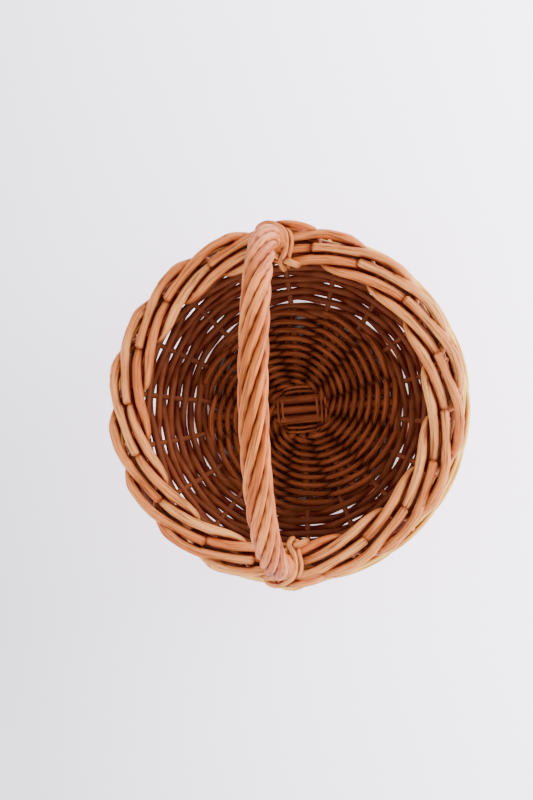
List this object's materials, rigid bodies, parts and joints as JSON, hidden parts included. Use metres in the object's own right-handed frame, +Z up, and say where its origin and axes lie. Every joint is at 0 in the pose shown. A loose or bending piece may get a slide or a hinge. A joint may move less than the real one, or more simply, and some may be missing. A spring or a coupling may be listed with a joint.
{
  "type": "woven market basket",
  "caption": "Round woven willow basket with a bowl-shaped side, a plaited border and a fixed hoop handle of twisted rods.",
  "frame": {"origin": "on the floor, under the centre of the basket", "axes": "+Z up along the basket's axis; the handle's hoop stands over the Y axis; +X to the right when the basket is seen from the front"},
  "size_m": [0.2982, 0.3053, 0.289],
  "materials": {
    "base_sticks": "stripped willow sticks, buff brown, satin",
    "base_weave": "fine stripped willow rods, red-brown buff, satin",
    "binders": "thin stripped willow rods, satin",
    "side_weave": "stripped willow rods, golden buff, satin",
    "stakes_and_border": "stripped willow rods, warm tan with browner creases and small knots, satin",
    "handle_core": "stout stripped willow rod, satin",
    "handle_strands": "stripped willow rods twisted as a rope, warm tan, satin",
    "lashings": "thin stripped willow rods, warm tan, satin"
  },
  "bodies": {
    "root": {"pierced_base_stick_left": "base_sticks", "passing_base_stick_left": "base_sticks", "pierced_base_stick_middle": "base_sticks", "passing_base_stick_middle": "base_sticks", "pierced_base_stick_right": "base_sticks", "passing_base_stick_right": "base_sticks", "slath_binder_first": "binders", "slath_binder_second": "binders", "base_weaver_inner": "base_weave", "base_weaver_outer": "base_weave", "stake_01": "stakes_and_border", "stake_02": "stakes_and_border", "stake_03": "stakes_and_border", "stake_04": "stakes_and_border", "stake_05": "stakes_and_border", "stake_06": "stakes_and_border", "stake_07": "stakes_and_border", "stake_08": "stakes_and_border", "stake_09": "stakes_and_border", "stake_10": "stakes_and_border", "stake_11": "stakes_and_border", "stake_12": "stakes_and_border", "stake_13": "stakes_and_border", "stake_14": "stakes_and_border", "stake_15": "stakes_and_border", "stake_16": "stakes_and_border", "stake_17": "stakes_and_border", "stake_18": "stakes_and_border", "side_weaver_01": "side_weave", "side_weaver_02": "side_weave", "side_weaver_03": "side_weave", "side_weaver_04": "side_weave", "side_weaver_05": "side_weave", "side_weaver_06": "side_weave", "side_weaver_07": "side_weave", "side_weaver_08": "side_weave", "side_weaver_09": "side_weave", "side_weaver_10": "side_weave", "side_weaver_11": "side_weave", "side_weaver_12": "side_weave", "side_weaver_13": "side_weave", "side_weaver_14": "side_weave", "side_weaver_15": "side_weave", "side_weaver_16": "side_weave", "side_weaver_17": "side_weave", "side_weaver_18": "side_weave", "side_weaver_19": "side_weave", "side_weaver_20": "side_weave", "side_weaver_21": "side_weave", "side_weaver_22": "side_weave", "handle_bow": "handle_core", "handle_strand_1": "handle_strands", "handle_strand_2": "handle_strands", "handle_strand_3": "handle_strands", "handle_strand_4": "handle_strands", "handle_strand_5": "handle_strands", "handle_strand_6": "handle_strands", "handle_strand_7": "handle_strands", "handle_lashing_back": "lashings", "handle_lashing_front": "lashings"}
  },
  "joints": []
}
